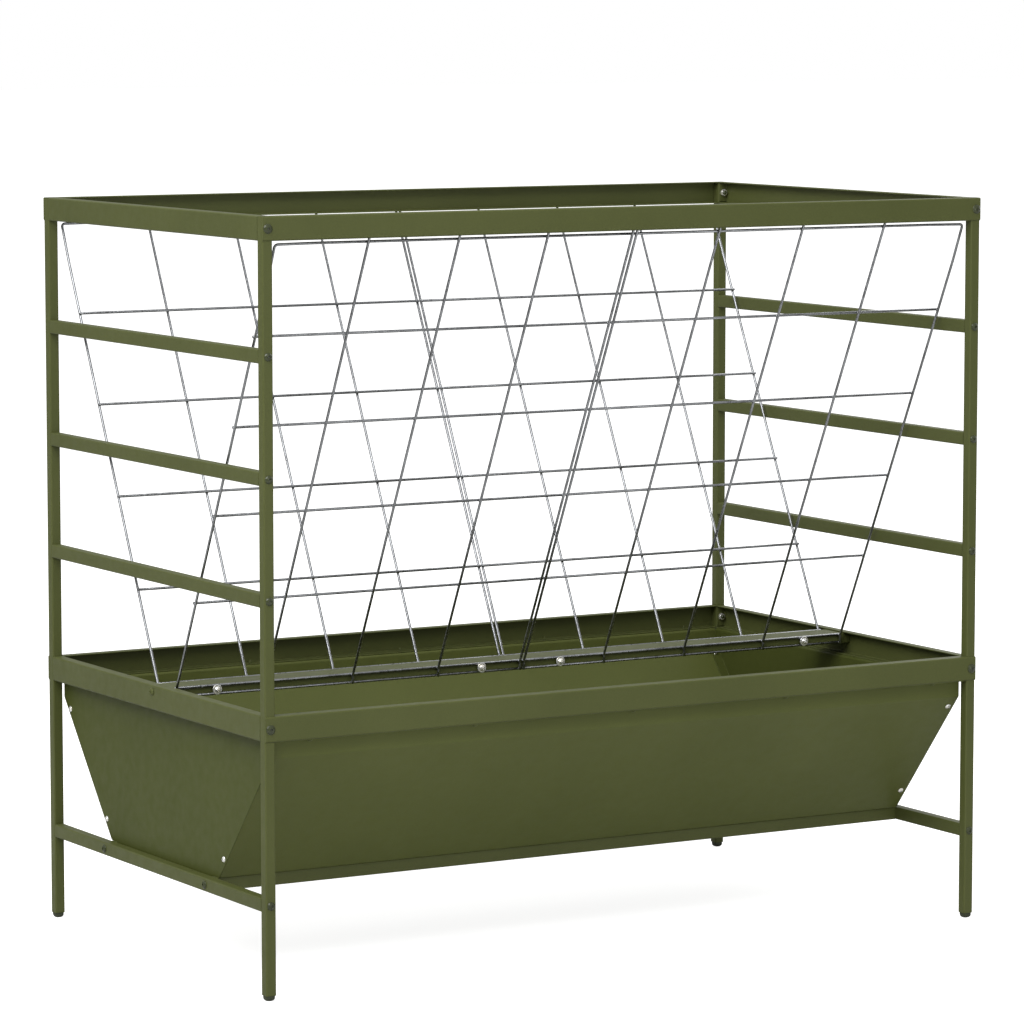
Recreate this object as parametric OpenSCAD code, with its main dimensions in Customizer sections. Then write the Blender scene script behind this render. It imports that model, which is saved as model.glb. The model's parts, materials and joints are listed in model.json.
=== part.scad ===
// Free-standing hay rack feeder for small livestock.
// X runs along the rack, Y from front to rear, Z up.
// The origin is on the floor, below the middle of the rack.

/* [Overall size] */
// Length over the legs
rack_l = 1230; // [1150:10:1350]
// Depth over the long bands
rack_d = 730; // [700:10:780]
// Height from the floor to the top edge of the bands
rack_h = 1115; // [1080:5:1180]

/* [Frame tube] */
// Side of the square tube of the legs, and width of the rails
tube = 16; // [15:0.5:18]
// Height of the rails and bearers
rail_h = 20; // [18:1:25]
// Wall of every tube
tube_wall = 1.5; // [1.2:0.1:2]
// Corner radius of every tube
tube_round = 2; // [1.8:0.1:3]
// Height of the foot caps below the legs
foot_h = 8; // [6:1:15]
// Centre height of the low side rails
low_rail_z = 137.5; // [120:0.5:150]
// Centre height of the lowest of the three side rails
side_rail_z = 572.7; // [540:0.1:600]
// Distance from one side rail to the next
side_rail_pitch = 172.6; // [150:0.1:180]
// Distance of each bearer from the middle of the rack
bearer_y = 169; // [150:1:172]

/* [Bands] */
// Thickness of the folded sheet
sheet = 1.5; // [1.2:0.1:2]
// Outer radius of the folds
fold = 2.5; // [2.2:0.1:3]
// Height of the top bands
top_band_h = 35; // [32:1:45]
// Height of the rim bands round the trough
rim_band_h = 37; // [34:1:45]
// Lower edge of the rim bands
rim_z = 372; // [360:1:400]

/* [Trough] */
// Thickness of the trough sheet
pan_t = 1.2; // [1:0.1:1.5]
// Height of the upright strip below the rim
strip_h = 26; // [20:1:40]
// Half of the width of the trough bottom
pan_bottom_y = 181; // [178:1:190]
// Width of the outward top flange
pan_flange = 14; // [12:0.5:15]
// Width of the corner tabs
tab_w = 16; // [14:1:20]

/* [Hay rack] */
// Diameter of the mesh wire
wire_d = 4; // [3:0.5:5]
// Width of the folded channel along the middle
channel_w = 50; // [44:1:60]
// Height of the channel
channel_h = 16; // [15:1:18]
// Half of the distance between the top wires
mesh_top_y = 352; // [350:0.5:353]
// Height of the top wires
mesh_top_z = 1075; // [1040:1:1076]
// Cells along each mesh panel
mesh_columns = 4; // [2:1:6]
// Cells down each mesh panel
mesh_rows = 5; // [3:1:7]
// Distance from the middle of the rack to a panel's outer border wire
mesh_end_x = 590; // [550:1:590]
// Distance from the middle of the rack to a panel's inner border wire
mesh_inner_x = 3.5; // [3.5:0.5:20]

/* [Fasteners] */
// Diameter of the frame bolts
bolt_d = 6; // [5:0.5:6]
// Diameter of the heads of the rail bolts
bolt_head_d = 12; // [11:0.5:13]
// Diameter of the heads of the corner bolts
corner_head_d = 14; // [12:0.5:15]
// Height of the domed heads
bolt_head_h = 3.5; // [3:0.5:5]
// Diameter of the sheet metal screws
screw_d = 4; // [3.5:0.5:4.5]
// Diameter of the screw heads
screw_head_d = 9; // [8:0.5:10]
// Height of the screw heads
screw_head_h = 2.8; // [2:0.2:3.2]
// Screws along each long flange
flange_screws_n = 5; // [3:1:7]
// Distance between the flange screws
flange_screw_pitch = 270; // [150:10:280]

/* [Hidden] */
$fn = 48;
play = 0.1;
hole_play = 0.4;

green = "#5A6139";
steel = "#A5A8AC";
zinc = "#C9CCD0";
plastic = "#2E3420";

leg_x = rack_l / 2 - tube / 2;
leg_y = rack_d / 2 - sheet - tube / 2;
leg_out_y = leg_y + tube / 2;
leg_in_x = leg_x - tube / 2;
leg_in_y = leg_y - tube / 2;
top_z = rack_h - top_band_h;
top_bolt_z = rack_h - top_band_h / 2;
rim_bolt_z = rim_z + rim_band_h / 2;
side_rail_zs = [for (i = [0:2]) side_rail_z + i * side_rail_pitch];
long_band_depth = sheet + tube;
lap = 0.2;

insert_l = 26;
tap_depth = 20;
bolt_hole_d = bolt_d + hole_play;
nut_d = 11.5;
nut_h = 5;

plug_h = 15;
plug_w = tube - 2 * tube_wall - 2 * play;
foot_w = tube - 1.6;
foot_round = 3;
foot_edge = 2.4;

pan_x = leg_in_x - 2;
pan_y = leg_in_y - 1;
pan_z = low_rail_z + rail_h / 2;
strip_z = rim_z - strip_h;
pan_foot = 26;
floor_y = pan_bottom_y - 5;
slant_y = pan_y - pan_bottom_y;
slant_z = strip_z - pan_z;
slant_l = norm([slant_y, slant_z]);
slant_angle = atan2(slant_y, slant_z);
tab_start = 22;
tab_end = slant_l - 10;
pan_bend = 3;
bend_steps = 6;
skirt_h = 3.5;
screw_hole_d = screw_d + 0.3;
screw_l = 7.5;
right_screw_s = [42, slant_l - 21.5];
left_screw_s = [33, slant_l - 27.5];
right_screw_x = pan_x - 10.8;
left_screw_in = 7.2;
flange_screw_y = rack_d / 2 - 9;
floor_screws_n = 5;
floor_screw_pitch = 270;

channel_x = rack_l / 2 - sheet - play;
channel_top = rim_z + rim_band_h - sheet - 0.5;
mesh_low_y = channel_w / 2 + wire_d / 2 + 0.05;
mesh_low_z = channel_top - 1.5;
mesh_drop = 12.5;
mesh_run = [mesh_top_y - mesh_low_y, mesh_top_z - mesh_low_z];
mesh_l = norm(mesh_run);
mesh_angle = atan2(mesh_run[0], mesh_run[1]);
wire_gap = wire_d + 0.05;
wire_hook = 9.5;
wire_tail = 2;
mesh_bolt_xs = [-522, -70, 70, 522];
mesh_bolt_d = 5;
mesh_bolt_z = mesh_low_z - mesh_drop / 2;
washer_d = 15;
washer_t = 1.2;
washer_y = mesh_low_y + wire_d / 2 + 0.05;
mesh_nut_d = 9;
mesh_nut_h = 4;

// x positions of the vertical wires, from the inner border to the outer border
mesh_xs = concat(
    [mesh_inner_x],
    [for (i = [1:mesh_columns - 1]) i * mesh_end_x / mesh_columns],
    [mesh_end_x]
);
// The wires that end in the top band; the outer one ends at the top wire
hooked_xs = [for (x = mesh_xs) if (x < mesh_end_x) x];

flange_screw_xs = centred_row(flange_screws_n, flange_screw_pitch);
floor_screw_xs = centred_row(floor_screws_n, floor_screw_pitch);

// ---- helpers -------------------------------------------------------------

// n positions, a pitch apart, centred on zero
function centred_row(n, pitch) = [for (i = [0:n - 1]) (i - (n - 1) / 2) * pitch];

// Unit vector to the right of the way from a to b
function right_of(a, b) = [b[1] - a[1], a[0] - b[0]] / norm(b - a);

// A path moved to its right by t, with mitred corners
function beside(path, t) = [
    for (i = [0:len(path) - 1])
        let (
            n1 = right_of(path[max(i - 1, 0)], path[max(i, 1)]),
            n2 = right_of(path[min(i, len(path) - 2)], path[min(i + 1, len(path) - 1)])
        )
        path[i] + (n1 + n2) * t / (1 + n1 * n2)
];

// Outline of a folded sheet that lies to the right of its path
function folded(path, t) =
    let (other = beside(path, t))
    concat(path, [for (i = [len(path) - 1:-1:0]) other[i]]);

function unit(v) = v / norm(v);

// Arc of radius r in place of the corner b of the way a, b, c
function bend(a, b, c, r) =
    let (
        u = unit(a - b),
        v = unit(c - b),
        half = acos(u * v) / 2,
        middle = b + unit(u + v) * r / sin(half),
        from = b + u * r / tan(half) - middle,
        to = b + v * r / tan(half) - middle,
        start = atan2(from[1], from[0]),
        turn = atan2(cross(from, to), from * to)
    )
    [for (k = [0:bend_steps]) let (a = start + turn * k / bend_steps) middle + r * [cos(a), sin(a)]];

// A path with every corner rounded
function soft(path, r) = [
    path[0],
    for (i = [1:len(path) - 2]) each bend(path[i - 1], path[i], path[i + 1], r),
    path[len(path) - 1]
];

// Draws in the rear right quarter, then mirrors to the side asked for
module quarter(sx, sy) {
    mirror([sx < 0 ? 1 : 0, 0, 0])
        mirror([0, sy < 0 ? 1 : 0, 0])
            children();
}

module all_quarters() {
    for (sx = [-1, 1], sy = [-1, 1]) quarter(sx, sy) children();
}

// Turns a shape that points up so that it points along +Y or along +X
module to_y() {
    rotate([-90, 0, 0]) children();
}

module to_x() {
    rotate([0, 90, 0]) children();
}

// Extrusions centred along X or Y: the outline's two axes become Y and Z, or X and Z
module along_x(l) {
    rotate([90, 0, 90]) linear_extrude(l, center = true) children();
}

module along_y(l) {
    rotate([90, 0, 0]) linear_extrude(l, center = true) children();
}

module rounded(w, h, r) {
    translate([r, 0]) square([w - 2 * r, h]);
    translate([0, r]) square([w, h - 2 * r]);
    for (x = [r, w - r], y = [r, h - r]) translate([x, y]) circle(r);
}

// Hollow tube section with its middle on the origin
module tube_section(w, h) {
    translate([-w / 2, -h / 2]) difference() {
        rounded(w, h, tube_round);
        translate([tube_wall, tube_wall])
            rounded(w - 2 * tube_wall, h - 2 * tube_wall, tube_round - tube_wall);
    }
}

// C-shaped band section: web from x = 0, open towards +x
module band_section(depth, h) {
    difference() {
        rounded(2 * depth, h, fold);
        translate([sheet, sheet]) rounded(2 * depth, h - 2 * sheet, fold - sheet);
        translate([depth, -1]) square([2 * depth, h + 2]);
    }
}

// Shallow dome on the XY plane
module dome(d, h) {
    r = (d * d / 4 + h * h) / (2 * h);
    intersection() {
        translate([0, 0, h - r]) sphere(r);
        cylinder(d = d + 2, h = h + 1);
    }
}

// Bolt or screw with its head on the XY plane and its shank pointing down
module fastener(head_d, head_h, shank_d, shank_l) {
    dome(head_d, head_h);
    translate([0, 0, -shank_l]) cylinder(d = shank_d, h = shank_l + head_h / 2);
}

module ring(outer_d, inner_d, h) {
    difference() {
        cylinder(d = outer_d, h = h);
        translate([0, 0, -1]) cylinder(d = inner_d, h = h + 2);
    }
}

module hex_nut(d, h, bore_d) {
    difference() {
        cylinder(d = d, h = h, $fn = 6);
        translate([0, 0, -1]) cylinder(d = bore_d, h = h + 2);
    }
}

// ---- frame ---------------------------------------------------------------

module leg() {
    bolt_zs = concat([low_rail_z, rim_bolt_z, top_bolt_z], side_rail_zs);
    color(green) difference() {
        translate([leg_x, leg_y, foot_h])
            linear_extrude(rack_h - foot_h) tube_section(tube, tube);
        for (z = bolt_zs)
            translate([leg_x, leg_in_y - 1, z]) to_y() cylinder(d = bolt_hole_d, h = tube + 2);
    }
}

module foot_cap() {
    color(plastic) translate([leg_x, leg_y, 0]) {
        intersection() {
            translate([-foot_w / 2, -foot_w / 2]) linear_extrude(foot_h) rounded(foot_w, foot_w, foot_round);
            along_x(tube) translate([-foot_w / 2, 0]) rounded(foot_w, 2 * foot_h, foot_edge);
            along_y(tube) translate([-foot_w / 2, 0]) rounded(foot_w, 2 * foot_h, foot_edge);
        }
        translate([-plug_w / 2, -plug_w / 2, foot_h - 1]) cube([plug_w, plug_w, plug_h + 1]);
    }
}

module leg_top_plugs() {
    color(plastic) all_quarters()
        translate([leg_x - plug_w / 2, leg_y - plug_w / 2, rack_h - 5]) cube([plug_w, plug_w, 5]);
}

// Long band: its web covers the legs, its lips stop between them
module long_band(z, h, bolt_z) {
    difference() {
        along_x(rack_l)
            translate([rack_d / 2, z]) mirror([1, 0]) band_section(long_band_depth, h);
        for (sx = [-1, 1]) quarter(sx, 1) {
            translate([leg_in_x - lap, leg_in_y - 1, z - 1])
                cube([tube + 2, tube + 1, h + 2]);
            translate([leg_x, leg_out_y - 1, bolt_z]) to_y() cylinder(d = bolt_hole_d, h = sheet + 2);
        }
    }
}

// Short band between the legs, with a tab at each end for the corner bolt
module short_band(z, h, bolt_z) {
    tab_h = h - 2 * sheet - 3;
    difference() {
        union() {
            along_y(2 * leg_in_y)
                translate([rack_l / 2, z]) mirror([1, 0]) band_section(tube, h);
            for (sy = [-1, 1]) quarter(1, sy)
                translate([leg_in_x + 1, leg_in_y - sheet, bolt_z - tab_h / 2])
                    cube([tube - 1.5, sheet, tab_h]);
        }
        for (sy = [-1, 1]) quarter(1, sy)
            translate([leg_x, leg_in_y - sheet - 1, bolt_z])
                to_y() cylinder(d = bolt_hole_d, h = sheet + 2);
    }
}

module top_band_long() {
    color(green) difference() {
        long_band(top_z, top_band_h, top_bolt_z);
        for (sx = [-1, 1]) mesh_columns_at(sx, hooked_xs)
            cylinder(d = wire_d + 1.2, h = mesh_l + wire_hook + 2);
    }
}

module top_band_short() {
    color(green) short_band(top_z, top_band_h, top_bolt_z);
}

module rim_band_long() {
    color(green) difference() {
        long_band(rim_z, rim_band_h, rim_bolt_z);
        for (x = flange_screw_xs)
            translate([x, flange_screw_y, rim_z - 1]) cylinder(d = screw_hole_d, h = sheet + 2);
    }
}

module rim_band_short() {
    color(green) difference() {
        short_band(rim_z, rim_band_h, rim_bolt_z);
        translate([rack_l / 2 - sheet - 1, 0, channel_bolt_z()])
            to_x() cylinder(d = bolt_hole_d, h = sheet + 2);
    }
}

// Side rail between the legs, bolted through them at both ends
module side_rail(z) {
    color(green) along_y(2 * leg_in_y) translate([leg_x, z]) tube_section(tube, rail_h);
}

module low_rail() {
    color(green) difference() {
        along_y(2 * leg_in_y) translate([leg_x, low_rail_z]) tube_section(tube, rail_h);
        for (y = [-bearer_y, bearer_y])
            translate([leg_in_x - 1, y, low_rail_z]) to_x() cylinder(d = bolt_hole_d, h = tube + 2);
    }
}

module bearer() {
    color(green) difference() {
        along_x(2 * leg_in_x) translate([bearer_y, low_rail_z]) tube_section(tube, rail_h);
        for (x = floor_screw_xs)
            translate([x, bearer_y, pan_z - tube_wall - 1]) cylinder(d = screw_hole_d, h = tube_wall + 2);
    }
}

// Block inside the end of a rail, with a tapped bore; its face is on the XY plane
module insert() {
    w = tube - 2 * tube_wall - 2 * play;
    h = rail_h - 2 * tube_wall - 2 * play;
    difference() {
        translate([-w / 2, -h / 2, -insert_l]) cube([w, h, insert_l]);
        translate([0, 0, -tap_depth - 2]) cylinder(d = bolt_d + play, h = tap_depth + 3);
    }
}

module frame_bolt(shank_l) {
    fastener(bolt_head_d, bolt_head_h, bolt_d, shank_l);
}

module side_rail_bolts() {
    color(green) all_quarters() for (z = side_rail_zs)
        translate([leg_x, leg_out_y, z]) to_y() frame_bolt(tube + tap_depth);
}

module side_rail_inserts() {
    color(plastic) all_quarters() for (z = side_rail_zs)
        translate([leg_x, leg_in_y, z]) to_y() insert();
}

module low_rail_bolts() {
    color(green) all_quarters()
        translate([leg_x, leg_out_y, low_rail_z]) to_y() frame_bolt(tube + tap_depth);
}

module low_rail_inserts() {
    color(plastic) all_quarters()
        translate([leg_x, leg_in_y, low_rail_z]) to_y() insert();
}

module bearer_bolts() {
    color(green) all_quarters()
        translate([rack_l / 2, bearer_y, low_rail_z]) to_x() frame_bolt(tube + tap_depth);
}

module bearer_inserts() {
    color(plastic) all_quarters()
        translate([leg_in_x, bearer_y, low_rail_z]) to_x() rotate([0, 0, 90]) insert();
}

module corner_bolts(z) {
    color(green) all_quarters()
        translate([leg_x, rack_d / 2, z]) to_y()
            fastener(corner_head_d, bolt_head_h, bolt_d, 2 * sheet + tube + nut_h + 3);
}

module corner_nuts(z) {
    color(zinc) all_quarters()
        translate([leg_x, leg_in_y - sheet - nut_h, z]) to_y() hex_nut(nut_d, nut_h, bolt_d + play);
}

// ---- trough --------------------------------------------------------------

// Long panel: top flange, upright strip, slanted wall and foot, with a tab on its left end
module long_panel() {
    path = [
        [pan_y + pan_flange, rim_z - pan_t],
        [pan_y, rim_z - pan_t],
        [pan_y, strip_z],
        [pan_bottom_y, pan_z],
        [pan_bottom_y - pan_foot, pan_z]
    ];
    color(green) difference() {
        union() {
            along_x(2 * (pan_x - pan_t)) polygon(folded(soft(path, pan_bend), pan_t));
            on_slant() translate([pan_t - pan_x, -tab_w, tab_start])
                cube([pan_t, tab_w - pan_t / 2, tab_end - tab_start]);
        }
        for (x = flange_screw_xs)
            translate([x, flange_screw_y, rim_z - pan_t - 1]) cylinder(d = screw_hole_d, h = pan_t + 2);
        for (x = floor_screw_xs)
            translate([x, bearer_y, pan_z - 1]) cylinder(d = screw_hole_d, h = pan_t + 2);
        left_screws_at() cylinder(d = screw_hole_d, h = 8, center = true);
        right_screws_at() cylinder(d = screw_hole_d, h = 8, center = true);
    }
}

// Sheet of the trough's outline, with a top flange and a skirt between the bearers
module end_sheet() {
    fold_path = [
        [pan_x + pan_flange, rim_z - pan_t],
        [pan_x, rim_z - pan_t],
        [pan_x, pan_z]
    ];
    outline = [
        [pan_y, rim_z],
        [pan_y, strip_z],
        [pan_bottom_y, pan_z],
        [-pan_bottom_y, pan_z],
        [-pan_y, strip_z],
        [-pan_y, rim_z]
    ];
    skirt_y = bearer_y - tube / 2 - 1;
    intersection() {
        along_y(2 * pan_y) polygon(folded(soft(fold_path, pan_bend), pan_t));
        translate([pan_x, 0, 0]) along_x(4 * pan_flange) polygon(soft(outline, pan_bend));
    }
    translate([pan_x - pan_t, -skirt_y, pan_z - skirt_h]) cube([pan_t, 2 * skirt_y, 4 * skirt_h]);
}

module trough_end_left() {
    color(green) difference() {
        union() {
            mirror([1, 0, 0]) end_sheet();
        }
        for (sy = [-1, 1]) quarter(1, sy) left_screws_at() cylinder(d = screw_hole_d, h = 8, center = true);
    }
}

// The right end panel has tabs that lie on the slanted walls
module trough_end_right() {
    color(green) difference() {
        union() {
            end_sheet();
            for (sy = [-1, 1]) quarter(1, sy) on_slant()
                translate([pan_x - pan_t / 2 - tab_w, -2 * pan_t, tab_start])
                    cube([tab_w, pan_t, tab_end - tab_start]);
        }
        for (sy = [-1, 1]) quarter(1, sy) right_screws_at() cylinder(d = screw_hole_d, h = 8, center = true);
    }
}

module trough_floor() {
    color(green) difference() {
        translate([play - pan_x + pan_t, -floor_y, pan_z + pan_t])
            cube([2 * (pan_x - pan_t - play), 2 * floor_y, pan_t]);
        for (x = floor_screw_xs, y = [-bearer_y, bearer_y])
            translate([x, y, pan_z]) cylinder(d = screw_hole_d, h = 4 * pan_t);
    }
}

// Frame of the slanted wall: origin at its foot on the outer face, z up the slope, y outwards
module on_slant() {
    translate([0, pan_bottom_y, pan_z]) rotate([-slant_angle, 0, 0]) children();
}

// Screw places on the slanted wall near its right end, pointing out of it
module right_screws_at() {
    on_slant() for (s = right_screw_s) translate([right_screw_x, 0, s]) to_y() children();
}

// Screw places on the left end panel, pointing out of it
module left_screws_at() {
    on_slant() for (s = left_screw_s) translate([-pan_x, -left_screw_in, s]) rotate([0, -90, 0]) children();
}

module screw() {
    fastener(screw_head_d, screw_head_h, screw_d, screw_l);
}

module flange_screws() {
    color(green) for (sy = [-1, 1]) quarter(1, sy) for (x = flange_screw_xs)
        translate([x, flange_screw_y, rim_z - pan_t]) rotate([180, 0, 0]) screw();
}

module corner_screws() {
    color(zinc) for (sy = [-1, 1]) quarter(1, sy) {
        left_screws_at() screw();
        right_screws_at() screw();
    }
}

module floor_screws() {
    color(zinc) for (x = floor_screw_xs, y = [-bearer_y, bearer_y])
        translate([x, y, pan_z + 2 * pan_t]) screw();
}

// ---- hay rack ------------------------------------------------------------

function channel_bolt_z() = channel_top - channel_h / 2;

module rack_channel() {
    color(green) difference() {
        union() {
            along_x(2 * channel_x) translate([0, channel_top]) rotate(-90)
                translate([0, -channel_w / 2]) channel_outline();
            for (sx = [-1, 1]) quarter(sx, 1)
                translate([channel_x - sheet, 1 - channel_w / 2, channel_top - channel_h])
                    cube([sheet, channel_w - 2, channel_h - 1]);
        }
        for (sx = [-1, 1]) quarter(sx, 1)
            translate([channel_x - sheet - 1, 0, channel_bolt_z()])
                to_x() cylinder(d = bolt_hole_d, h = sheet + 2);
        for (x = mesh_bolt_xs)
            translate([x, -channel_w, mesh_bolt_z])
                to_y() cylinder(d = mesh_bolt_d + hole_play, h = 2 * channel_w);
    }
}

// Channel section: web on x = 0, sides towards +x
module channel_outline() {
    difference() {
        rounded(2 * channel_h, channel_w, fold);
        translate([sheet, sheet]) rounded(2 * channel_h, channel_w - 2 * sheet, fold - sheet);
        translate([channel_h, -1]) square([2 * channel_h, channel_w + 2]);
    }
}

module channel_bolts() {
    color(green) for (sx = [-1, 1]) quarter(sx, 1)
        translate([rack_l / 2, 0, channel_bolt_z()]) to_x() frame_bolt(2 * sheet + nut_h + 3);
}

module channel_nuts() {
    color(zinc) for (sx = [-1, 1]) quarter(sx, 1)
        translate([channel_x - sheet - nut_h, 0, channel_bolt_z()])
            to_x() hex_nut(nut_d, nut_h, bolt_d + play);
}

// Frame of a mesh panel: origin on its lower wire, z up the slope, y outwards
module on_mesh() {
    translate([0, mesh_low_y, mesh_low_z]) rotate([-mesh_angle, 0, 0]) children();
}

// Foot of each vertical wire of a row, on the outside of the horizontal wires
module mesh_columns_at(sx, xs) {
    on_mesh() for (x = xs) translate([sx * x, wire_gap, -wire_tail]) children();
}

// Welded panel; its lowest cell is bent upright, against the side of the channel
module mesh_panel() {
    wire_l = mesh_end_x - mesh_inner_x + wire_d;
    wire_x = mesh_inner_x - wire_d / 2;
    upright_l = mesh_drop + wire_tail;
    color(steel) {
        mesh_columns_at(1, hooked_xs) cylinder(d = wire_d, h = mesh_l + wire_hook + wire_tail);
        mesh_columns_at(1, [mesh_end_x]) cylinder(d = wire_d, h = mesh_l + wire_d / 2 + wire_tail);
        for (x = mesh_xs)
            translate([x, mesh_low_y + wire_gap, mesh_low_z - upright_l]) cylinder(d = wire_d, h = upright_l);
        on_mesh() for (i = [0:mesh_rows])
            translate([wire_x, 0, i * mesh_l / mesh_rows]) to_x() cylinder(d = wire_d, h = wire_l);
        translate([wire_x, mesh_low_y, mesh_low_z - mesh_drop]) to_x() cylinder(d = wire_d, h = wire_l);
    }
}

module at_mesh_bolts(y) {
    for (sy = [-1, 1]) quarter(1, sy) for (x = mesh_bolt_xs)
        translate([x, y, mesh_bolt_z]) to_y() children();
}

module mesh_bolts() {
    shank_l = washer_y + washer_t - channel_w / 2 + sheet + mesh_nut_h + 2;
    color(zinc) at_mesh_bolts(washer_y + washer_t) fastener(screw_head_d, screw_head_h, mesh_bolt_d, shank_l);
}

module mesh_washers() {
    color(zinc) at_mesh_bolts(washer_y) ring(washer_d, mesh_bolt_d + hole_play, washer_t);
}

module mesh_nuts() {
    color(zinc) at_mesh_bolts(channel_w / 2 - sheet - mesh_nut_h)
        hex_nut(mesh_nut_d, mesh_nut_h, mesh_bolt_d + play);
}

// ---- nodes ---------------------------------------------------------------

quarter(-1, -1) leg();  // leg_front_left
quarter(1, -1) leg();  // leg_front_right
quarter(-1, 1) leg();  // leg_rear_left
quarter(1, 1) leg();  // leg_rear_right
quarter(-1, -1) foot_cap();  // foot_cap_front_left
quarter(1, -1) foot_cap();  // foot_cap_front_right
quarter(-1, 1) foot_cap();  // foot_cap_rear_left
quarter(1, 1) foot_cap();  // foot_cap_rear_right
leg_top_plugs();
quarter(1, -1) top_band_long();  // top_band_front
quarter(1, 1) top_band_long();  // top_band_rear
quarter(-1, 1) top_band_short();  // top_band_left
quarter(1, 1) top_band_short();  // top_band_right
quarter(1, -1) rim_band_long();  // rim_band_front
quarter(1, 1) rim_band_long();  // rim_band_rear
quarter(-1, 1) rim_band_short();  // rim_band_left
quarter(1, 1) rim_band_short();  // rim_band_right
quarter(-1, 1) side_rail(side_rail_zs[2]);  // side_rail_left_upper
quarter(-1, 1) side_rail(side_rail_zs[1]);  // side_rail_left_middle
quarter(-1, 1) side_rail(side_rail_zs[0]);  // side_rail_left_lower
quarter(1, 1) side_rail(side_rail_zs[2]);  // side_rail_right_upper
quarter(1, 1) side_rail(side_rail_zs[1]);  // side_rail_right_middle
quarter(1, 1) side_rail(side_rail_zs[0]);  // side_rail_right_lower
quarter(-1, 1) low_rail();  // low_rail_left
quarter(1, 1) low_rail();  // low_rail_right
quarter(1, -1) bearer();  // bearer_front
quarter(1, 1) bearer();  // bearer_rear
quarter(1, -1) long_panel();  // trough_front_panel
quarter(1, 1) long_panel();  // trough_rear_panel
trough_end_left();
trough_end_right();
trough_floor();
rack_channel();
quarter(-1, -1) mesh_panel();  // mesh_front_left
quarter(1, -1) mesh_panel();  // mesh_front_right
quarter(-1, 1) mesh_panel();  // mesh_rear_left
quarter(1, 1) mesh_panel();  // mesh_rear_right
corner_bolts(top_bolt_z);  // top_corner_bolts
corner_nuts(top_bolt_z);  // top_corner_nuts
corner_bolts(rim_bolt_z);  // rim_corner_bolts
corner_nuts(rim_bolt_z);  // rim_corner_nuts
side_rail_bolts();
side_rail_inserts();
low_rail_bolts();
low_rail_inserts();
bearer_bolts();
bearer_inserts();
channel_bolts();
channel_nuts();
mesh_bolts();
mesh_washers();
mesh_nuts();
flange_screws();
corner_screws();
floor_screws();
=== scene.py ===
import json
import math

import bmesh
import bpy
from mathutils import Matrix, Quaternion, Vector


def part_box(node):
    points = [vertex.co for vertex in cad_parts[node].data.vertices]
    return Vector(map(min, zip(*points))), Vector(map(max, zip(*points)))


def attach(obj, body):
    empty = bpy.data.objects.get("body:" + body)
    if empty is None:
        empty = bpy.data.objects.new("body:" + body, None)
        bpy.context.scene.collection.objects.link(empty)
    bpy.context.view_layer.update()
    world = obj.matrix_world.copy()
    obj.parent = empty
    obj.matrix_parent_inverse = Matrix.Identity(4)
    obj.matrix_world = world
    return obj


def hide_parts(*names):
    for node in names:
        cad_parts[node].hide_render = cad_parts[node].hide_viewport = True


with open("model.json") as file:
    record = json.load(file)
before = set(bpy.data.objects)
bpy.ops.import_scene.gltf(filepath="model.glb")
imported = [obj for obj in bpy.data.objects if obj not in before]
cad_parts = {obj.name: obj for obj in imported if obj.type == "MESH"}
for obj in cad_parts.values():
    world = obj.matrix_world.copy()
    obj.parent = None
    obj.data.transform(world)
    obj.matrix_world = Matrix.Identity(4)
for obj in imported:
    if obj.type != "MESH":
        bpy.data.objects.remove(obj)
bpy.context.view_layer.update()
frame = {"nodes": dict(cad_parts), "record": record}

# Looks of the hay rack feeder: materials for the CAD nodes, finer fasteners, foot caps and wire mesh,
# camera and light. Everything is in metres, in the frame of the CAD model: X along the rack, Y to the
# rear, Z up.

mm = 0.001
BODY = "root"


def lowest(node):
    """The corner of a node's box with the smallest X, Y and Z."""
    return Vector(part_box(node)[0])


def highest(node):
    """The corner of a node's box with the largest X, Y and Z."""
    return Vector(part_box(node)[1])


def middle(node):
    """The middle of a node's box."""
    return (lowest(node) + highest(node)) / 2


# ---- materials -----------------------------------------------------------


def srgb(code):
    """A colour written as #RRGGBB, as linear light."""
    parts = [int(code[i:i + 2], 16) / 255 for i in (1, 3, 5)]
    return [p / 12.92 if p <= 0.04045 else ((p + 0.055) / 1.055) ** 2.4 for p in parts] + [1.0]


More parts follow.
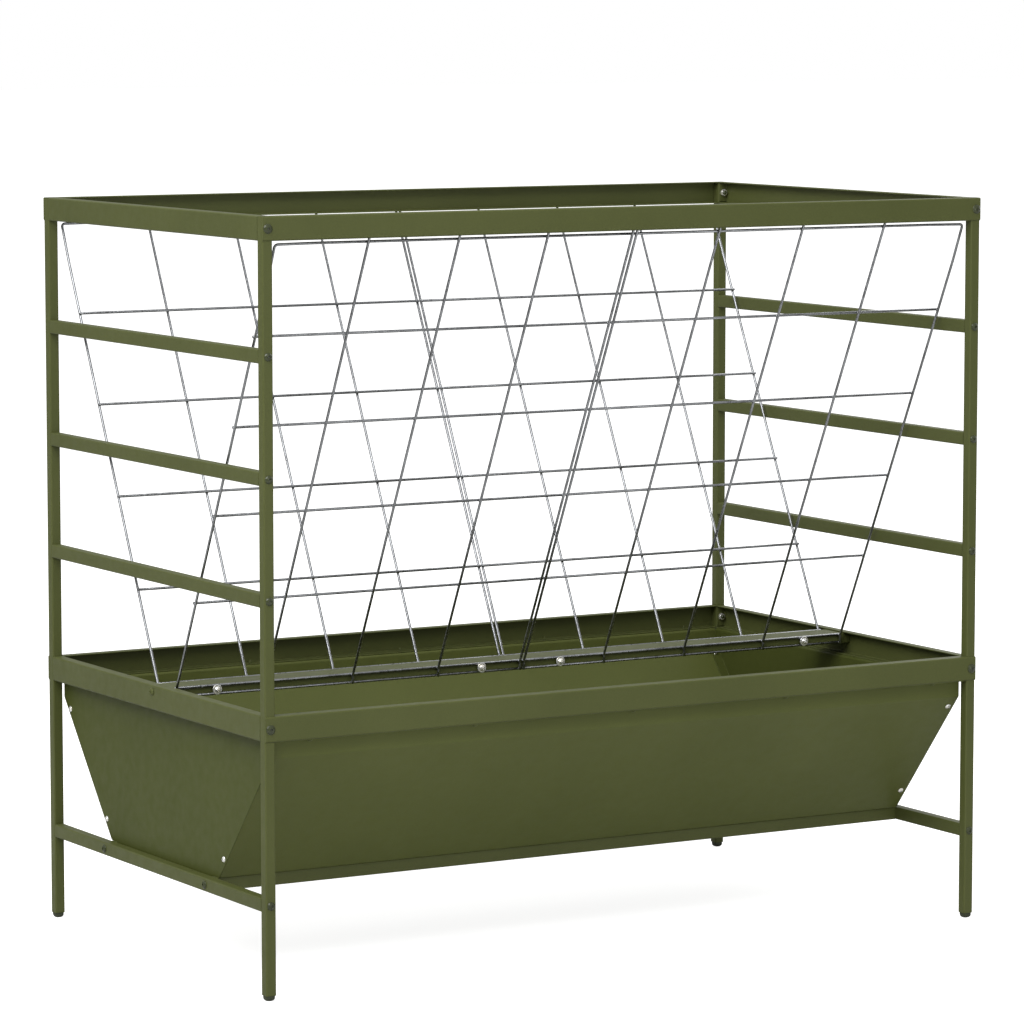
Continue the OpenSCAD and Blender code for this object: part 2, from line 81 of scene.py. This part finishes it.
class Look:
    """A material with a Principled shader, and a short way to add nodes to it."""

    def __init__(self, name):
        self.material = bpy.data.materials.new(name)
        self.material.use_nodes = True
        self.tree = self.material.node_tree
        self.shader = self.tree.nodes["Principled BSDF"]
        self.place = self.add("ShaderNodeTexCoord").outputs["Object"]

    def add(self, kind, inputs=None, **settings):
        node = self.tree.nodes.new(kind)
        for key, value in settings.items():
            setattr(node, key, value)
        for key, value in (inputs or {}).items():
            self.feed(node, key, value)
        return node

    def feed(self, node, key, value):
        if isinstance(value, bpy.types.NodeSocket):
            self.tree.links.new(value, node.inputs[key])
        else:
            node.inputs[key].default_value = value

    def noise(self, scale, detail=2.0, roughness=0.5):
        inputs = {"Vector": self.place, "Scale": scale, "Detail": detail, "Roughness": roughness}
        return self.add("ShaderNodeTexNoise", inputs).outputs["Fac"]

    def cells(self, scale):
        return self.add("ShaderNodeTexVoronoi", {"Vector": self.place, "Scale": scale}).outputs["Color"]

    def grey(self, colour):
        return self.add("ShaderNodeSeparateColor", {"Color": colour}).outputs["Red"]

    def span(self, value, low, high, start=0.0, end=1.0):
        """Turns start..end of a value into low..high."""
        inputs = {"Value": value, "From Min": start, "From Max": end, "To Min": low, "To Max": high}
        return self.add("ShaderNodeMapRange", inputs).outputs["Result"]

    def maths(self, operation, a, b=0.0):
        return self.add("ShaderNodeMath", {0: a, 1: b}, operation=operation).outputs["Value"]

    def mix(self, factor, a, b, blend="MIX"):
        node = self.add("ShaderNodeMix", data_type="RGBA", blend_type=blend)
        self.feed(node, 0, factor)
        self.feed(node, 6, a)
        self.feed(node, 7, b)
        return node.outputs[2]

    def bump(self, height, strength, depth, normal=None):
        node = self.add("ShaderNodeBump", {"Height": height, "Strength": strength, "Distance": depth})
        if normal:
            self.feed(node, "Normal", normal)
        return node.outputs["Normal"]

    def edges(self, radius):
        """(rounded normal, how close to an edge from 0 to 1)."""
        rounded = self.add("ShaderNodeBevel", {"Radius": radius}, samples=4).outputs["Normal"]
        facing = self.add("ShaderNodeNewGeometry").outputs["Normal"]
        dot = self.add("ShaderNodeVectorMath", {0: rounded, 1: facing}, operation="DOT_PRODUCT")
        return rounded, self.span(dot.outputs["Value"], 1.0, 0.0, 0.75, 1.0)

    def finish(self, **inputs):
        for key, value in inputs.items():
            self.feed(self.shader, key.replace("_", " "), value)
        return self.material


def powder_coat(name, colour, light, roughness=0.45, gloss=0.2):
    """Satin powder coat: orange-peel skin, slow changes of tone, and lighter edges, partly a thinner coat
    and partly a painted highlight.
    """
    look = Look(name)
    rounded, edge = look.edges(1.2 * mm)
    tone = look.span(look.noise(5, 3), 0.0, 1.0, 0.3, 0.7)
    body = look.mix(tone, srgb(colour), srgb(light))
    speck = look.span(look.noise(900, 1), 0.92, 1.06, 0.3, 0.7)
    speck_grey = look.add("ShaderNodeCombineColor", {0: speck, 1: speck, 2: speck}).outputs[0]
    speckled = look.mix(1.0, body, speck_grey, "MULTIPLY")
    # Lighter edges: partly a thinner coat, partly a painted highlight on the edges.
    edge_wear_and_highlight = look.maths("MULTIPLY", edge, look.span(look.noise(40, 3), 0.1, 0.4, 0.35, 0.65))
    coloured = look.mix(edge_wear_and_highlight, speckled, srgb("#7B8357"))
    peel = look.noise(520, 2, 0.6)
    skin = look.bump(peel, 0.22, 0.12 * mm, rounded)
    rough = look.span(look.noise(60, 3), roughness - 0.05, roughness + 0.07, 0.3, 0.7)
    return look.finish(Base_Color=coloured, Roughness=rough, Normal=skin, Specular_IOR_Level=gloss)


def galvanised(name):
    """Dull zinc coat on drawn wire: patches of spangle, drawing lines and a few darker spots."""
    look = Look(name)
    spangle = look.grey(look.cells(260))
    patch = look.noise(35, 4, 0.6)
    tone = look.mix(look.span(patch, 0.0, 1.0, 0.35, 0.65), srgb("#6E6F71"), srgb("#909295"))
    tone = look.mix(look.span(spangle, 0.0, 0.3), tone, srgb("#B6B9BC"))
    spots = look.span(look.noise(210, 2), 0.0, 0.55, 0.66, 0.76)
    tone = look.mix(spots, tone, srgb("#3E3E3C"))
    rough = look.span(spangle, 0.22, 0.38)
    skin = look.bump(look.noise(800, 3), 0.3, 0.1 * mm)
    return look.finish(Base_Color=tone, Metallic=1.0, Roughness=rough, Normal=skin)


def zinc_plate(name):
    """Bright zinc plating on screws, washers and nuts, with a faint blue and yellow cast and a painted
    highlight on the edges.
    """
    look = Look(name)
    cast = look.span(look.noise(160, 3), 0.0, 1.0, 0.35, 0.65)
    tone = look.mix(cast, srgb("#EEF0F3"), srgb("#F3EFE4"))
    rounded, edge = look.edges(0.3 * mm)
    # Edges lightened towards white: a painted highlight.
    tone = look.mix(look.maths("MULTIPLY", edge, 0.5), tone, srgb("#FAFAFA"))
    rough = look.span(look.noise(420, 3), 0.2, 0.36, 0.3, 0.7)
    skin = look.bump(look.noise(1500, 2), 0.15, 0.04 * mm, rounded)
    return look.finish(Base_Color=tone, Metallic=0.75, Roughness=rough, Normal=skin)


def moulded_plastic(name):
    """Very dark olive polyethylene with a fine moulded grain, and lighter edges, partly scuffs and partly a
    painted highlight.
    """
    look = Look(name)
    rounded, edge = look.edges(0.5 * mm)
    # Lighter edges: partly scuffs, partly a painted highlight.
    scuff_and_highlight = look.maths("MULTIPLY", edge, look.span(look.noise(300, 3), 0.0, 0.7, 0.4, 0.65))
    tone = look.mix(look.span(look.noise(90, 3), 0.0, 1.0, 0.3, 0.7), srgb("#262C18"), srgb("#333A20"))
    tone = look.mix(scuff_and_highlight, tone, srgb("#5A6042"))
    rough = look.span(look.noise(500, 2), 0.5, 0.66, 0.3, 0.7)
    skin = look.bump(look.noise(2200, 2), 0.35, 0.08 * mm, rounded)
    return look.finish(Base_Color=tone, Roughness=rough, Normal=skin)


coat = powder_coat("olive_powder_coat", "#4A4F29", "#4F542D")
# Lighter copy of the coat for the long sheets (painted light) and a darker, less glossy one for the end
# panels (painted shade).
lit_sheet_coat = powder_coat("lit_sheet_coat", "#53592B", "#575D2F")
shaded_end_coat = powder_coat("shaded_end_coat", "#434920", "#474D23", gloss=0.12)
dark_coat = powder_coat("dark_olive_coat", "#2B3118", "#343A1E", 0.26, 0.5)
wire = galvanised("galvanised_wire")
zinc = zinc_plate("zinc_plate")
plastic = moulded_plastic("olive_plastic")

LOOKS = {
    "powder_coat": coat,
    "painted_fastener": dark_coat,
    "galvanised_wire": wire,
    "zinc_fastener": zinc,
    "dark_plastic": plastic,
}
# The long sheets take a lighter copy of the coat, painted light, and the end panels a darker, less glossy
# copy, painted shade.
SHEET_LOOKS = {
    "trough_front_panel": lit_sheet_coat,
    "trough_rear_panel": lit_sheet_coat,
    "trough_end_left": shaded_end_coat,
    "trough_end_right": shaded_end_coat,
}
SLOTS = {part["node"]: part["material_slot"] for part in frame["record"]["subparts"]}

for name, node in frame["nodes"].items():
    node.data.materials.clear()
    node.data.materials.append(SHEET_LOOKS.get(name, LOOKS[SLOTS[name]]))


# ---- mesh building -------------------------------------------------------


class Shape:
    """Closed solids built from stacks of rings, gathered into one mesh."""

    def __init__(self):
        self.points = []
        self.faces = []

    def ring_faces(self, first, second, n):
        for i in range(n):
            j = (i + 1) % n
            self.faces.append((first + i, first + j, second + j, second + i))

    def stack(self, rings, loop=False):
        """Joins rings of equal length in turn. The ends are closed; with loop, the last joins the first."""
        n = len(rings[0])
        base = len(self.points)
        for ring in rings:
            self.points.extend(ring)
        for k in range(len(rings) - 1):
            self.ring_faces(base + k * n, base + (k + 1) * n, n)
        last = base + (len(rings) - 1) * n
        if loop:
            self.ring_faces(last, base, n)
            return
        self.faces.append(tuple(base + i for i in reversed(range(n))))
        self.faces.append(tuple(last + i for i in range(n)))

    def add(self, other, matrix):
        """A copy of another shape, moved by a matrix."""
        base = len(self.points)
        self.points.extend(matrix @ p for p in other.points)
        self.faces.extend(tuple(base + i for i in face) for face in other.faces)

    def piece(self, name, material, slot, *nodes, smooth_angle=35):
        """A visible piece made of the shape, in place of CAD nodes."""
        mesh = bpy.data.meshes.new(name)
        mesh.from_pydata([tuple(p) for p in self.points], [], self.faces)
        mesh.validate()
        mesh.materials.append(material)
        obj = bpy.data.objects.new(name, mesh)
        bpy.context.collection.objects.link(obj)
        outward_faces(mesh)
        mesh.shade_smooth()
        mesh.set_sharp_from_angle(angle=math.radians(smooth_angle))
        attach(obj, BODY)
        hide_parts(*nodes)
        return obj


def outward_faces(mesh):
    """Turns every face of a closed mesh outwards."""
    work = bmesh.new()
    work.from_mesh(mesh)
    bmesh.ops.recalc_face_normals(work, faces=work.faces)
    work.to_mesh(mesh)
    work.free()


def ring(n, radius, z):
    """Ring of n points round Z. radius is a number or a function of the angle."""
    reach = radius if callable(radius) else (lambda a: radius)
    angles = [2 * math.pi * i / n for i in range(n)]
    return [Vector((reach(a) * math.cos(a), reach(a) * math.sin(a), z)) for a in angles]


def hexagon(across_flats):
    """Radius of a hexagon at an angle."""
    half = math.pi / 6
    return lambda a: across_flats / 2 / math.cos((a + half) % (2 * half) - half)


def cross(arm, width):
    """Radius of a four-armed recess at an angle: arm is its reach, width the width of each arm."""
    quarter = math.pi / 4

    def reach(a):
        off = abs((a + quarter) % (2 * quarter) - quarter)
        return min(arm / math.cos(off), width / 2 / max(math.sin(off), 1e-6))

    return reach


def rounded_square(side, corner):
    """Radius of a square with round corners at an angle."""
    flat = side / 2
    inset = flat - corner

    def reach(a):
        c, s = abs(math.cos(a)), abs(math.sin(a))
        straight = flat / max(c, s)
        if straight * min(c, s) <= inset:
            return straight
        along = inset * (c + s)
        return along + math.sqrt(max(along * along - 2 * inset * inset + corner * corner, 0))

    return reach


def smaller(reach, limit):
    """The radius reach at an angle, but at most limit."""
    return lambda a: min(reach(a), limit)


def dome_rings(n, outer, height, lip, inner, steps=6):
    """Rings over a shallow dome, from its outer edge up to the radius of its recess."""
    rise = height - lip
    ball = (outer ** 2 + rise ** 2) / (2 * rise)
    radii = [outer + (inner - outer) * k / steps for k in range(steps + 1)]
    return [ring(n, r, height - ball + math.sqrt(ball ** 2 - r ** 2)) for r in radii]


def thread_rings(n, radius, start, end, pitch):
    """Rings down a threaded shank, whose ridge climbs one pitch a turn."""
    depth = 0.55 * pitch
    steps = max(2, int(abs(end - start) / pitch * 6))
    rings = []
    for k in range(steps + 1):
        z = start + (end - start) * k / steps

        def reach(a, z=z):
            turn = (z / pitch + a / (2 * math.pi)) % 1
            return radius - depth * (1 - abs(2 * turn - 1)) * 0.9

        rings.append(ring(n, reach, z))
    return rings


def bolt(head_d, head_h, shank_d, shank_l, recess, recess_r, recess_h, thread_l, pitch, n=48):
    """Bolt or screw along Z, with the underside of its head at z = 0 and its shank below."""
    r, lip, soft = head_d / 2, head_h * 0.22, head_h * 0.06
    shape = Shape()
    rings = [ring(n, lambda a: recess(a) * 0.55, head_h - recess_h)]
    rings.append(ring(n, lambda a: recess(a) * 0.9, head_h - recess_h * 0.93))
    rings.append(ring(n, recess, head_h * 0.97))
    rings.append(ring(n, lambda a: recess(a) + 0.05 * r, head_h * 0.995))
    rings.extend(reversed(dome_rings(n, r, head_h, lip, recess_r + 0.12 * r)))
    rings.append(ring(n, r, soft))
    rings.append(ring(n, r - soft, 0))
    rings.append(ring(n, shank_d / 2, 0))
    thread_start = thread_l - shank_l
    rings.append(ring(n, shank_d / 2, thread_start))
    rings.extend(thread_rings(n, shank_d / 2, thread_start, pitch - shank_l, pitch))
    rings.append(ring(n, shank_d / 2 * 0.62, -shank_l))
    shape.stack(rings)
    return shape


def nut(across, height, bore_d, n=48):
    """Hexagon nut along Z with chamfered corners, from z = 0."""
    flat, bevel = hexagon(across), across * 0.07
    shape = Shape()
    rings = [
        ring(n, bore_d / 2 + bevel, 0),
        ring(n, across / 2 * 0.98, 0),
        ring(n, smaller(flat, across / 2 * 1.02), bevel * 0.1),
        ring(n, flat, bevel),
        ring(n, flat, height - bevel),
        ring(n, smaller(flat, across / 2 * 1.02), height - bevel * 0.1),
        ring(n, across / 2 * 0.98, height),
        ring(n, bore_d / 2 + bevel, height),
        ring(n, bore_d / 2, height - bevel),
        ring(n, bore_d / 2, bevel),
    ]
    shape.stack(rings, loop=True)
    return shape


def washer(outer_d, bore_d, height, n=40):
    """Pressed washer along Z, from z = 0, its upper edge slightly rounded by the punch."""
    r, b, soft = outer_d / 2, bore_d / 2, height * 0.25
    shape = Shape()
    rings = [ring(n, b, 0), ring(n, r - soft * 0.4, 0), ring(n, r, soft * 0.4), ring(n, r, height - soft)]
    rings += [ring(n, r - soft, height), ring(n, b + soft, height), ring(n, b, height - soft)]
    shape.stack(rings, loop=True)
    return shape


def bent(points, radius, steps=8):
    """The points of a path, with an arc in place of each inner corner."""
    path = [points[0]]
    for a, b, c in zip(points, points[1:], points[2:]):
        u, v = (a - b).normalized(), (c - b).normalized()
        half = u.angle(v) / 2
        centre = b + (u + v).normalized() * radius / math.sin(half)
        start = b + u * radius / math.tan(half) - centre
        axis = u.cross(v).normalized()
        turn = 2 * half - math.pi
        path.extend(centre + Quaternion(axis, turn * k / steps) @ start for k in range(steps + 1))
    return path + [points[-1]]


def wire_along(path, radius, n=16):
    """Round wire along a path, its cut ends slightly rounded."""
    soft = radius * 0.35
    first, last = (path[1] - path[0]).normalized(), (path[-1] - path[-2]).normalized()
    stops = [path[0], path[0] + first * soft] + path[1:-1] + [path[-1] - last * soft, path[-1]]
    reaches = [radius - soft] + [radius] * (len(stops) - 2) + [radius - soft]
    side = first.orthogonal().normalized()
    rings = []
    for k, (stop, reach) in enumerate(zip(stops, reaches)):
        along = (stops[min(k + 1, len(stops) - 1)] - stops[max(k - 1, 0)]).normalized()
        side = (side - along * side.dot(along)).normalized()
        other = along.cross(side)
        angles = [2 * math.pi * i / n for i in range(n)]
        rings.append([stop + (side * math.cos(a) + other * math.sin(a)) * reach for a in angles])
    shape = Shape()
    shape.stack(rings)
    return shape


def bead(reach, height, n=14, steps=6):
    """Flattened ball on the origin: reach is its radius, height its half height along Z."""
    angles = [math.pi * (k + 0.5) / steps - math.pi / 2 for k in range(steps)]
    shape = Shape()
    shape.stack([ring(n, reach * math.cos(a), height * math.sin(a)) for a in angles])
    return shape


def facing(place, direction, spin=0.0):
    """Matrix that puts a shape's origin at place and turns its +Z to direction."""
    turn = Vector(direction).to_track_quat("Z", "Y").to_matrix().to_4x4()
    return Matrix.Translation(place) @ turn @ Matrix.Rotation(spin, 4, "Z")


# ---- places read from the frame ------------------------------------------

SIDES = (-1, 1)
QUARTERS = [(sx, sy) for sx in SIDES for sy in SIDES]

leg = middle("leg_rear_right")
leg_out = highest("leg_rear_right")
leg_in = lowest("leg_rear_right")
band_face = highest("top_band_rear").y
end_face = highest("low_rail_right").x

sheet_t = 1.5 * mm
bolt_d = 6 * mm
bolt_head = (12 * mm, 3.5 * mm)
corner_head = (14 * mm, 3.5 * mm)
screw_d = 4 * mm
screw_head = (9 * mm, 2.8 * mm)

RAILS = ["side_rail_right_upper", "side_rail_right_middle", "side_rail_right_lower"]
rail_zs = [middle(name).z for name in RAILS]
low_z = middle("low_rail_right").z
bearer_y = middle("bearer_rear").y


def frame_bolt(head, shank_l, thread_l):
    return bolt(*head, bolt_d, shank_l, hexagon(4 * mm), 2.3 * mm, 2 * mm, thread_l, 1 * mm)


def pan_screw(shank_l, shank_d=screw_d):
    recess = cross(2.5 * mm, 1.1 * mm)
    return bolt(*screw_head, shank_d, shank_l, recess, 2.6 * mm, 1.7 * mm, shank_l - 1 * mm, 1.4 * mm)


def scatter(shape, places, name, material, slot, node):
    """One piece with a copy of shape at each (place, direction), each turned a little differently."""
    whole = Shape()
    for k, (place, direction) in enumerate(places):
        whole.add(shape, facing(place, direction, 2.4 * k))
    return whole.piece(name, material, slot, node)


def corner_places(z, y):
    """Places on the legs' lines, facing the front and the rear."""
    return [(Vector((sx * leg.x, sy * y, z)), (0, sy, 0)) for sx, sy in QUARTERS]


def end_places(z, y):
    """Places on the ends of the feeder, facing outwards."""
    return [(Vector((sx * end_face, sy * y, z)), (sx, 0, 0)) for sx, sy in QUARTERS]


def channel_places(x):
    """Places at the ends of the channel under the mesh, facing outwards."""
    z = middle("channel_bolts").z
    return [(Vector((sx * x, 0, z)), (sx, 0, 0)) for sx in SIDES]


# ---- fasteners -----------------------------------------------------------

# node: (places, head, length of the shank)
GREEN_BOLTS = {
    "top_corner_bolts": (corner_places(middle("top_band_rear").z, band_face), corner_head, 27 * mm),
    "rim_corner_bolts": (corner_places(middle("rim_band_rear").z, band_face), corner_head, 27 * mm),
    "side_rail_bolts": ([p for z in rail_zs for p in corner_places(z, leg_out.y)], bolt_head, 36 * mm),
    "low_rail_bolts": (corner_places(low_z, leg_out.y), bolt_head, 36 * mm),
    "bearer_bolts": (end_places(low_z, bearer_y), bolt_head, 36 * mm),
    "channel_bolts": (channel_places(end_face), bolt_head, 11 * mm),
}

for node, (places, head, shank_l) in GREEN_BOLTS.items():
    shape = frame_bolt(head, shank_l, min(12 * mm, shank_l - 1 * mm))
    scatter(shape, places, node.replace("bolts", "bolt_set"), LOOKS[SLOTS[node]], SLOTS[node], node)

nut_h = 5 * mm
frame_nut = nut(10 * mm, nut_h, 5.4 * mm)
NUTS = {
    "top_corner_nuts": corner_places(middle("top_band_rear").z, leg_in.y - sheet_t - nut_h),
    "rim_corner_nuts": corner_places(middle("rim_band_rear").z, leg_in.y - sheet_t - nut_h),
    "channel_nuts": channel_places(end_face - 2 * sheet_t - nut_h),
}
for node, places in NUTS.items():
    scatter(frame_nut, places, node.replace("nuts", "nut_set"), zinc, "zinc_fastener", node)

mesh_bolt_z = middle("mesh_bolts").z
mesh_bolt_xs = [x * mm for x in (-522, -70, 70, 522)]


def mesh_places(y):
    return [(Vector((x, sy * y, mesh_bolt_z)), (0, sy, 0)) for sy in SIDES for x in mesh_bolt_xs]


washer_t = 1.2 * mm
mesh_nut_h = 4 * mm
washer_face = highest("mesh_washers").y
mesh_nut_y = highest("mesh_nuts").y - mesh_nut_h
mesh_bolt = pan_screw(washer_face - mesh_nut_y + 2 * mm, 5 * mm)
mesh_washer = washer(15 * mm, 5.4 * mm, washer_t)
mesh_nut = nut(8 * mm, mesh_nut_h, 4.5 * mm)
for shape, y, kind in (
    (mesh_bolt, washer_face, "mesh_bolt"),
    (mesh_washer, washer_face - washer_t, "mesh_washer"),
    (mesh_nut, mesh_nut_y, "mesh_nut"),
):
    scatter(shape, mesh_places(y), kind + "_set", zinc, "zinc_fastener", kind + "s")

# Screws of the trough. Its slanted wall runs from the bearers up to the strip below the rim.
pan_x = leg_in.x - 2 * mm
wall_foot_y = 181 * mm
strip_h = 26 * mm
wall_low = Vector((0, wall_foot_y, highest("low_rail_right").z))
wall_high = Vector((0, leg_in.y - 1 * mm, lowest("rim_band_rear").z - strip_h))
wall_l = (wall_high - wall_low).length
up_wall = (wall_high - wall_low).normalized()
off_wall = Vector((0, up_wall.z, -up_wall.y))
screw_l = 7.5 * mm


def both_sides(places):
    """The places at the rear, and their mirror images at the front."""
    return [(Vector((p.x, sy * p.y, p.z)), (d[0], sy * d[1], d[2])) for sy in SIDES for p, d in places]


# On the right they go through the slanted wall, on the left through the end panel.
right_inset, left_inset = 10.8 * mm, 7.2 * mm
right_screws = [
    (wall_low + up_wall * up + Vector((pan_x - right_inset, 0, 0)), off_wall)
    for up in (42 * mm, wall_l - 21.5 * mm)
]
left_screws = [
    (wall_low + up_wall * up - off_wall * left_inset - Vector((pan_x, 0, 0)), (-1, 0, 0))
    for up in (33 * mm, wall_l - 27.5 * mm)
]
row_step = 270 * mm
row_xs = [k * row_step for k in range(-2, 3)]
flange_y = band_face - 9 * mm
flange_face = lowest("flange_screws").z + screw_head[1]
floor_face = highest("floor_screws").z - screw_head[1]
flange_screws = [(Vector((x, flange_y, flange_face)), (0, 0, -1)) for x in row_xs]
floor_screws = [(Vector((x, bearer_y, floor_face)), (0, 0, 1)) for x in row_xs]
for node, places in (
    ("corner_screws", right_screws + left_screws),
    ("flange_screws", flange_screws),
    ("floor_screws", floor_screws),
):
    name = node.replace("screws", "screw_set")
    scatter(pan_screw(screw_l), both_sides(places), name, LOOKS[SLOTS[node]], SLOTS[node], node)


# ---- foot caps -----------------------------------------------------------


def foot_cap(low, high):
    """Moulded cap with a round lower edge, and a ribbed plug up inside the leg."""
    side, plug, brim = high.x - low.x, high.x - low.x - 1.6 * mm, 8 * mm
    # (height, distance in from the side)
    profile = [(0, 4.2), (0.35, 2.9), (0.9, 1.9), (1.7, 1.1), (2.7, 0.5), (3.9, 0.15), (5.2, 0)]
    profile += [(7.4, 0), (7.8, 0.12), (8, 0.45)]
    rings = [ring(56, rounded_square(side - 2 * inset * mm, 3.4 * mm), z * mm) for z, inset in profile]
    rib, ribs_start = 1.1 * mm, brim + 1.5 * mm
    rings.append(ring(56, rounded_square(plug - 1.2 * mm, 1.6 * mm), brim))
    for k in range(4):
        z = ribs_start + k * 3 * mm
        steps = ((0, 1.2), (0.4 * mm, 0), (rib, 0), (rib + 0.5 * mm, 1.2))
        rings += [ring(56, rounded_square(plug - out * mm, 1.6 * mm), z + up) for up, out in steps]
    rings.append(ring(56, rounded_square(plug - 1.6 * mm, 1.6 * mm), high.z - low.z))
    shape = Shape()
    shape.stack(rings)
    return shape


for corner in ("front_left", "front_right", "rear_left", "rear_right"):
    node = "foot_cap_" + corner
    cap = Shape()
    spot = middle(node)
    cap.add(foot_cap(lowest(node), highest(node)), Matrix.Translation((spot.x, spot.y, lowest(node).z)))
    cap.piece("foot_" + corner, plastic, "dark_plastic", node, smooth_angle=50)


# ---- wire mesh -----------------------------------------------------------

wire_r = 2 * mm
wire_gap = 4.05 * mm
wire_hook = 9.5 * mm
wire_tail = 2 * mm
mesh_drop = 12.5 * mm
MESH_ROWS = 5
MESH_COLUMNS = 4

mesh_lo, mesh_hi = lowest("mesh_rear_right"), highest("mesh_rear_right")
mesh_in, mesh_end = mesh_lo.x + wire_r, mesh_hi.x - wire_r
fold_y, fold_z = mesh_lo.y + wire_r, mesh_lo.z + mesh_drop + wire_tail


def mesh_slope():
    """(lean from the upright, length) of the panel from its fold to its top wire, from the node's box."""
    lean = 0.4
    for _ in range(30):
        across = mesh_hi.y - fold_y - (wire_gap + wire_r) * math.cos(lean)
        rise = mesh_hi.z - fold_z + (wire_gap - wire_r) * math.sin(lean)
        lean = math.atan2(across, rise)
    return lean, math.hypot(across, rise) - wire_hook


lean, slope_l = mesh_slope()
up_mesh = Vector((0, math.sin(lean), math.cos(lean)))
off_mesh = Vector((0, math.cos(lean), -math.sin(lean)))


def on_slope(x, up, off=0.0):
    return Vector((x, fold_y, fold_z)) + up_mesh * up + off_mesh * off


def upright_feet(x):
    """Lower end and fold of a vertical wire."""
    fold_up = wire_gap * (1 - math.cos(lean)) / math.sin(lean)
    y = fold_y + wire_gap
    return [Vector((x, y, mesh_lo.z)), on_slope(x, fold_up, wire_gap)]


def mesh_panel():
    """Panel at the rear right: vertical wires outside the horizontal ones, welded where they cross."""
    xs = [mesh_in] + [mesh_end * k / MESH_COLUMNS for k in range(1, MESH_COLUMNS)] + [mesh_end]
    ends = (mesh_in - wire_r, mesh_end + wire_r)
    rows = [slope_l * k / MESH_ROWS for k in range(MESH_ROWS)]
    paths = [bent(upright_feet(x) + [on_slope(x, slope_l + wire_hook, wire_gap)], 10 * mm) for x in xs[:-1]]
    paths += [[on_slope(x, up) for x in ends] for up in rows]
    paths.append([Vector((x, fold_y, fold_z - mesh_drop)) for x in ends])
    # The last vertical wire turns at the outer corner and runs on as the top wire.
    before_turn, after_turn = slope_l - 60 * mm, mesh_end - 60 * mm
    border = upright_feet(mesh_end) + [
        on_slope(mesh_end, before_turn, wire_gap),
        on_slope(mesh_end, slope_l, 0.35 * wire_gap),
        on_slope(after_turn, slope_l),
        on_slope(ends[0], slope_l),
    ]
    paths.append(bent(border, 5 * mm))
    whole = Shape()
    for path in paths:
        whole.add(wire_along(path, wire_r), Matrix.Identity(4))
    weld = bead(2.3 * mm, 1.5 * mm)
    for k, x in enumerate(xs):
        for up in rows + [slope_l] * (x != mesh_end):
            whole.add(weld, facing(on_slope(x, up, wire_gap / 2), off_mesh, 0.9 * k))
        whole.add(weld, facing(Vector((x, fold_y + wire_gap / 2, fold_z - mesh_drop)), (0, 1, 0), 0.9 * k))
    return whole


panel = mesh_panel()
PANELS = {"front_left": (-1, -1), "front_right": (1, -1), "rear_left": (-1, 1), "rear_right": (1, 1)}
for name, (sx, sy) in PANELS.items():
    side = Shape()
    side.add(panel, Matrix.Diagonal((sx, sy, 1, 1)))
    side.piece("wire_panel_" + name, wire, "galvanised_wire", "mesh_" + name, smooth_angle=50)


# ---- camera and light ----------------------------------------------------


def camera():
    data = bpy.data.cameras.new("camera")
    data.lens = 165.46
    data.sensor_width = 36
    data.clip_end = 200
    obj = bpy.data.objects.new("camera", data)
    obj.location = (-3.6249, -6.2100, 1.4186)
    obj.rotation_euler = (math.radians(90 - 6.242), 0, math.radians(-30.277))
    bpy.context.collection.objects.link(obj)
    bpy.context.scene.camera = obj


def soft_light(name, place, size, power, target=(0, 0, 0.6)):
    """Round area light that faces the target."""
    data = bpy.data.lights.new(name, "AREA")
    data.shape = "DISK"
    data.size = size
    data.energy = power
    obj = bpy.data.objects.new(name, data)
    obj.location = place
    obj.rotation_euler = (Vector(target) - Vector(place)).to_track_quat("-Z", "Y").to_euler()
    bpy.context.collection.objects.link(obj)


def floor():
    """Pale floor, lit up as seen directly, so that it runs into the white backdrop."""
    look = Look("pale_floor")
    tone = look.mix(look.span(look.noise(0.6, 3), 0.0, 1.0, 0.3, 0.7), srgb("#C8C8C7"), srgb("#CCCCCB"))
    seen = look.add("ShaderNodeLightPath").outputs["Is Camera Ray"]
    look.finish(
        Base_Color=tone, Roughness=0.9, Specular_IOR_Level=0.1,
        Emission_Color=srgb("#FFFFFF"), Emission_Strength=look.maths("MULTIPLY", seen, 0.84),
    )
    mesh = bpy.data.meshes.new("floor")
    far = 60.0
    mesh.from_pydata([(-far, -far, 0), (far, -far, 0), (far, far, 0), (-far, far, 0)], [], [(0, 1, 2, 3)])
    mesh.materials.append(look.material)
    obj = bpy.data.objects.new("floor", mesh)
    bpy.context.collection.objects.link(obj)


def studio():
    """White backdrop, whose light is dim at the horizon and brighter overhead, and three soft lights."""
    world = bpy.data.worlds.new("studio")
    world.use_nodes = True
    tree = world.node_tree
    place = tree.nodes.new("ShaderNodeTexCoord").outputs["Generated"]
    parts = tree.nodes.new("ShaderNodeSeparateXYZ")
    tree.links.new(place, parts.inputs[0])
    total = tree.nodes.new("ShaderNodeMath")
    total.operation = "ADD"
    # (from height, to height, from strength, to strength)
    for k, values in enumerate(((0.0, 0.25, 0.1, 0.5), (0.25, 1.0, 0.0, 0.35))):
        rise = tree.nodes.new("ShaderNodeMapRange")
        tree.links.new(parts.outputs["Z"], rise.inputs["Value"])
        for key, value in zip(("From Min", "From Max", "To Min", "To Max"), values):
            rise.inputs[key].default_value = value
        tree.links.new(rise.outputs["Result"], total.inputs[k])
    seen = tree.nodes.new("ShaderNodeLightPath").outputs["Is Camera Ray"]
    pick = tree.nodes.new("ShaderNodeMix")
    tree.links.new(seen, pick.inputs[0])
    tree.links.new(total.outputs["Value"], pick.inputs[2])
    pick.inputs[3].default_value = 1.0
    tree.links.new(pick.outputs[0], tree.nodes["Background"].inputs["Strength"])
    tree.nodes["Background"].inputs["Color"].default_value = (1, 1, 1, 1)
    bpy.context.scene.world = world
    bpy.context.scene.view_settings.view_transform = "Standard"
    soft_light("key", (-3.4, -2.0, 4.4), 4.5, 310)
    soft_light("fill", (0.5, -6.0, 0.7), 3.5, 64)
    soft_light("side", (4.6, 2.2, 2.6), 4.0, 85)


camera()
floor()
studio()
